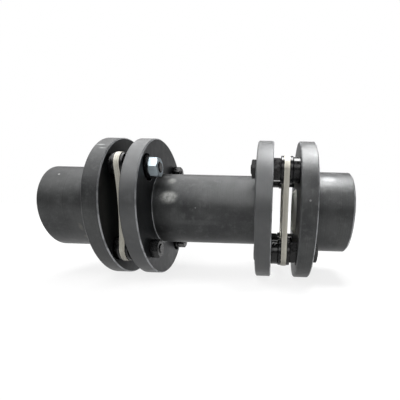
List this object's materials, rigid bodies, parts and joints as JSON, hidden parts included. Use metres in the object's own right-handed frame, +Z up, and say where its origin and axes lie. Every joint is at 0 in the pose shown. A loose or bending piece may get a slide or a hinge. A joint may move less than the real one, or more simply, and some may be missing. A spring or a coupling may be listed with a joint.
{
  "type": "shaft coupling",
  "caption": "Flexible disc spacer coupling: flanged hubs bolted through laminated disc packs to a hollow flanged spacer.",
  "frame": {"origin": "on the shaft axis, halfway along the whole coupling, from the long hub's end to the short hub's end", "axes": "+X along the shaft axis towards the short hub, +Z up, -Y the near side in the picture"},
  "size_m": [0.2454, 0.112, 0.112],
  "materials": {
    "blackened_steel": "matte blackened turned steel",
    "black_oxide_steel": "glossy black oxide with an oil film",
    "stainless_laminations": "satin stainless spring steel with sheared edges",
    "zinc_plated_steel": "bright zinc plate"
  },
  "bodies": {
    "root": {"left_disc_pack": "stainless_laminations", "left_hub": "blackened_steel", "left_lower_far_bushing": "black_oxide_steel", "left_lower_far_inner_washer": "black_oxide_steel", "left_lower_far_nut": "black_oxide_steel", "left_lower_far_outer_washer": "black_oxide_steel", "left_lower_far_screw": "black_oxide_steel", "left_lower_far_sleeve": "black_oxide_steel", "left_lower_near_bushing": "black_oxide_steel", "left_lower_near_inner_washer": "black_oxide_steel", "left_lower_near_nut": "black_oxide_steel", "left_lower_near_outer_washer": "black_oxide_steel", "left_lower_near_screw": "black_oxide_steel", "left_lower_near_sleeve": "black_oxide_steel", "left_upper_far_bushing": "black_oxide_steel", "left_upper_far_inner_washer": "black_oxide_steel", "left_upper_far_nut": "black_oxide_steel", "left_upper_far_outer_washer": "black_oxide_steel", "left_upper_far_screw": "black_oxide_steel", "left_upper_far_sleeve": "black_oxide_steel", "left_upper_near_bushing": "black_oxide_steel", "left_upper_near_inner_washer": "black_oxide_steel", "left_upper_near_nut": "zinc_plated_steel", "left_upper_near_outer_washer": "black_oxide_steel", "left_upper_near_screw": "black_oxide_steel", "left_upper_near_sleeve": "black_oxide_steel", "right_disc_pack": "stainless_laminations", "right_hub": "blackened_steel", "right_lower_far_bushing": "black_oxide_steel", "right_lower_far_inner_washer": "black_oxide_steel", "right_lower_far_nut": "black_oxide_steel", "right_lower_far_outer_washer": "black_oxide_steel", "right_lower_far_screw": "black_oxide_steel", "right_lower_far_sleeve": "black_oxide_steel", "right_lower_near_bushing": "black_oxide_steel", "right_lower_near_inner_washer": "black_oxide_steel", "right_lower_near_nut": "black_oxide_steel", "right_lower_near_outer_washer": "black_oxide_steel", "right_lower_near_screw": "black_oxide_steel", "right_lower_near_sleeve": "black_oxide_steel", "right_upper_far_bushing": "black_oxide_steel", "right_upper_far_inner_washer": "black_oxide_steel", "right_upper_far_nut": "black_oxide_steel", "right_upper_far_outer_washer": "black_oxide_steel", "right_upper_far_screw": "black_oxide_steel", "right_upper_far_sleeve": "black_oxide_steel", "right_upper_near_bushing": "black_oxide_steel", "right_upper_near_inner_washer": "black_oxide_steel", "right_upper_near_nut": "black_oxide_steel", "right_upper_near_outer_washer": "black_oxide_steel", "right_upper_near_screw": "black_oxide_steel", "right_upper_near_sleeve": "black_oxide_steel", "spacer": "blackened_steel"}
  },
  "joints": []
}
